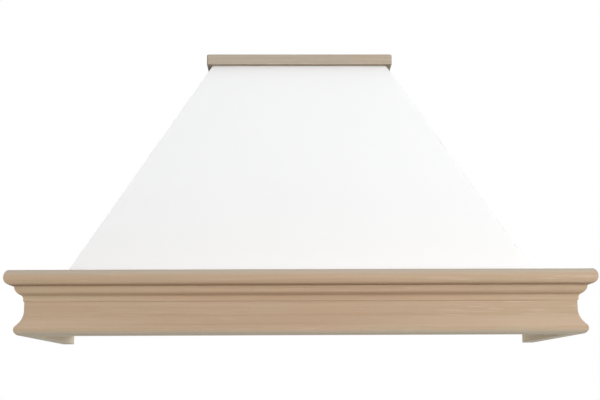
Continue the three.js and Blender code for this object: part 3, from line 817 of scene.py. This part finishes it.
# The paint covers what is within a hair of the two leaning outside planes. Behind it is bare fibreboard.
def paintedBoardMaterial():
    material, bench = newMaterial("painted fibreboard")
    place = bench.place()
    x, y, z = bench.parts(place)
    height = (z - float(panelLow[2])) / canopyRise
    insideFront = y + footDepth + height * (headDepth - footDepth)
    insideSide = height * (headHalf - footHalf) + footHalf - abs(x)
    inside = bench.put("ShaderNodeMath", {"operation": "MINIMUM"}, {0: insideFront, 1: insideSide})
    painted = 1 - bench.ramp(inside, *canopy["coat"])
    roller = bench.noise(place, canopy["rollerCells"], 3.0, 0.55)
    fibre = bench.noise(place, canopy["fibreCells"])
    cloud = bench.noise(place, canopy["cloudCells"])
    mottle = bench.ramp(fibre * 0.6 + cloud * 0.4, 0.35, 0.65)
    board = bench.blend(mottle, canopy["board"], canopy["boardDark"])
    clouded = tuple(np.multiply(canopy["paint"], canopy["cloud"]))
    film = bench.blend(bench.ramp(cloud, 0.3, 0.7) * 0.5, canopy["paint"], clouded)
    # painted light whitens the paint towards the foot
    film = bench.blend(1 - bench.ramp(height, 0.0, canopy["litFootTo"]), film, canopy["litFootPaint"])
    relief = roller * painted + fibre * (1 - painted)
    bench.close({
        "Base Color": bench.blend(painted, board, film),
        "Roughness": 0.88 - painted * (0.40 + cloud * 0.06),
        "Specular IOR Level": 0.35,
        "Normal": bench.bump(relief, canopy["bumpDepth"], canopy["bumpStrength"]),
    })
    return material


# A panel's outline is its upright section: u is how far in from the outside, v the height above the foot.
# Its run gets shorter with u, in the ratio of the two thicknesses, so the panels meet in mitres at the hips.
def addPanels():
    gap = canopy["gap"]
    edge = canopy["edge"]

    def front(u, v, t):
        halfWidth = canopyHalf(v) - u * sideThick / frontThick - gap
        return halfWidth * (2 * t - 1), u - canopyDepth(v), panelLow[2] + v

    def forward(u, v, t):
        return -(canopyDepth(v) - u * frontThick / sideThick - gap) * t

    def left(u, v, t):
        return u - canopyHalf(v), forward(u, v, t), panelLow[2] + v

    def right(u, v, t):
        return canopyHalf(v) - u, forward(u, v, t), panelLow[2] + v

    material = paintedBoardMaterial()
    runs = {
        "front": (frontThick, 2 * footHalf, front),
        "left": (sideThick, footDepth, left),
        "right": (sideThick, footDepth, right),
    }
    for side, (thick, length, place) in runs.items():
        node = f"canopy_panel_{side}"
        outline = easeCorners(np.concatenate([
            corner(0, 0, edge),
            corner(0, canopyRise, edge),
            corner(thick, canopyRise, edge),
            corner(thick, 0, edge),
        ]))
        points, faces = carry(outline, place, length, canopy["endEase"])
        addPiece(f"{node}_finish", points, faces, material, node)


addPanels()
print("canopy built")


# all in m
screw = {
    "headRadius": 0.004,
    "headRim": 0.0003,
    "headHeight": 0.0024,
    "neck": 0.001,  # plain stretch under the head
    "shankRadius": 0.002,
    "core": 0.0014,
    "pitch": 0.0019,
    "runIn": 0.002,  # the thread grows over this length
    "tip": 0.005,
    "point": 0.00004,
    "recess": 0.0017,  # depth of the cross in the head
    "armWidth": (0.00036, 0.00072),  # from its middle line to the end of the full depth, and to the edge
    "armFall": 0.55,  # share of the depth that is lost on the way out
    "armReach": 0.0021,
    "armEnd": 0.0004,  # the arms run out over this length
}


# A surface of turning with two parameters, the station from the head's middle to the tip, which gives the
# radius r and the depth, and the angle a, with x = r cos a and y = r sin a. The thread adds a triangle wave
# of (depth / pitch - a / 360) to the core. The cross in the head's face is as deep as the product of a step
# across its arms, a step along them and a slope that falls towards their ends.
def screwPoints(length, sides=40):
    s = screw
    threadFoot = s["headHeight"] + s["neck"]
    step = s["pitch"] / 6
    faceRadius = np.linspace(0.0, s["headRadius"], 16)[1:]
    shankDepth = np.arange(threadFoot, length - s["tip"] - step / 2, step)
    tipDepth = np.linspace(length - s["tip"], length, 9)
    tipRadius = np.linspace(s["core"], s["point"], 9)
    headRadius = [s["headRadius"], s["shankRadius"]]
    radius = np.concatenate([faceRadius, headRadius, shankDepth * 0 + s["core"], tipRadius])
    depth = np.concatenate([faceRadius * 0, [s["headRim"], s["headHeight"]], shankDepth, tipDepth])
    r, a = np.meshgrid(radius, np.arange(sides) * 2 * math.pi / sides, indexing="ij")
    z = np.broadcast_to(depth[:, None], r.shape)
    turns = (z / s["pitch"] - a / (2 * math.pi)) % 1
    ridge = np.clip(1 - np.abs(turns - 0.5) * 4, 0, 1) * (s["shankRadius"] - s["core"])
    fade = np.clip((z - threadFoot) / s["runIn"], 0, 1) * np.clip((length - z) / s["tip"], 0, 1)
    r = r + ridge * fade
    x = r * np.cos(a)
    y = r * np.sin(a)
    narrow = np.minimum(np.abs(x), np.abs(y))
    far = np.maximum(np.abs(x), np.abs(y))
    deep, edge = s["armWidth"]
    acrossArm = np.clip((edge - narrow) / (edge - deep), 0, 1)
    alongArm = np.clip((s["armReach"] - far) / s["armEnd"], 0, 1)
    slope = np.clip(1 - far / s["armReach"] * s["armFall"], 0, 1)
    onFace = (np.arange(len(radius)) < len(faceRadius) - 1)[:, None]
    z = z + onFace * acrossArm * alongArm * slope * s["recess"]
    return np.stack([x, y, -z], -1).reshape(-1, 3), closedFaces(*r.shape)


platedSteel = zincMaterial()


# Each screw lies in the middle of its node's box, with its head at the end that outward points to.
def addScrews(names, outward):
    up = Vector(outward)
    side = up.orthogonal().normalized()
    axes = np.array([side, up.cross(side), up])
    for i, node in enumerate(names):
        low, high = boxOf(node)
        length = (high - low) @ np.abs(np.array(outward))
        points, faces = screwPoints(length)
        spin = math.radians(37 * i + 11)  # no two crosses line up
        cos = math.cos(spin)
        sin = math.sin(spin)
        turn = np.array([[cos, sin, 0], [-sin, cos, 0], [0, 0, 1]])
        head = (low + high) / 2 + np.array(outward) * length / 2
        points = points @ turn @ axes + head
        addPiece(f"{node}_finish", points, faces, platedSteel, node, smooth=40.0)


addScrews([f"sole_screw_{i}" for i in range(1, 9)], (0, 0, 1))
addScrews([f"lap_screw_{i}" for i in range(1, 5)], (0, 1, 0))
addScrews(["bracket_screw_left_1", "bracket_screw_right_1"], (0, -1, 0))
addScrews(["bracket_screw_left_2"], (1, 0, 0))
addScrews(["bracket_screw_right_2"], (-1, 0, 0))
print("screws built")


# The frame inside keeps the CAD's shapes. Each group has the direction that its grain follows.
sideLean = (footHalf - headHalf) / canopyRise
frontLean = (footDepth - headDepth) / canopyRise
framing = {
    (1, 0, 0): (
        "sole_batten_front", "hanging_rail", "wall_cleat", "flue_frame_front", "flue_frame_back",
        "shelf_ledger_front", "liner_cleat_front", "liner_cleat_back", "back_rail",
    ),
    (0, 1, 0): (
        "sole_batten_left", "sole_batten_right", "flue_frame_left", "flue_frame_right",
        "shelf_ledger_left", "shelf_ledger_right", "liner_cleat_left", "liner_cleat_right",
    ),
    (0, 0, 1): ("corner_block_left", "corner_block_right"),
    (0, frontLean, 1): ("front_stud",),
    (sideLean, 0, 1): ("wall_stile_left",),
    (-sideLean, 0, 1): ("wall_stile_right",),
    (sideLean, frontLean, 1): ("hip_post_left",),
    (-sideLean, frontLean, 1): ("hip_post_right",),
}
edges = {
    "timber": 0.0008,  # m, width of the eased edges
    "plate": 0.0003,
    "weld": 0.00001,
    "segments": 2,
    "sharperThan": 55,  # degrees
}
treeStep = (7.3, 0.013, -0.017)  # m in the tree from one board of a group to the next
treeStart = (3.1, -0.02)  # m by the grain's lean to x and y


# Welding joins the loose triangles of the CAD's mesh, and the bevel eases its edges.
def dressNode(node, material, width):
    weld = nodes[node].modifiers.new("weld", "WELD")
    weld.merge_threshold = edges["weld"]
    bevel = nodes[node].modifiers.new("eased edges", "BEVEL")
    bevel.width = width
    bevel.segments = edges["segments"]
    bevel.limit_method = "ANGLE"
    bevel.angle_limit = math.radians(edges["sharperThan"])
    bevel.loop_slide = False
    nodes[node].data.materials.clear()
    nodes[node].data.materials.append(material)


for grain, names in framing.items():
    start = (treeStart[0] * grain[0], treeStart[1] * grain[1], 0)
    for i, node in enumerate(names):
        shift = tuple(np.multiply(treeStep, i) + start)
        dressNode(node, softwoodMaterial(f"softwood {node}", grain, shift), edges["timber"])
for node in ("angle_bracket_left", "angle_bracket_right"):
    dressNode(node, platedSteel, edges["plate"])
print("inner frame finished")
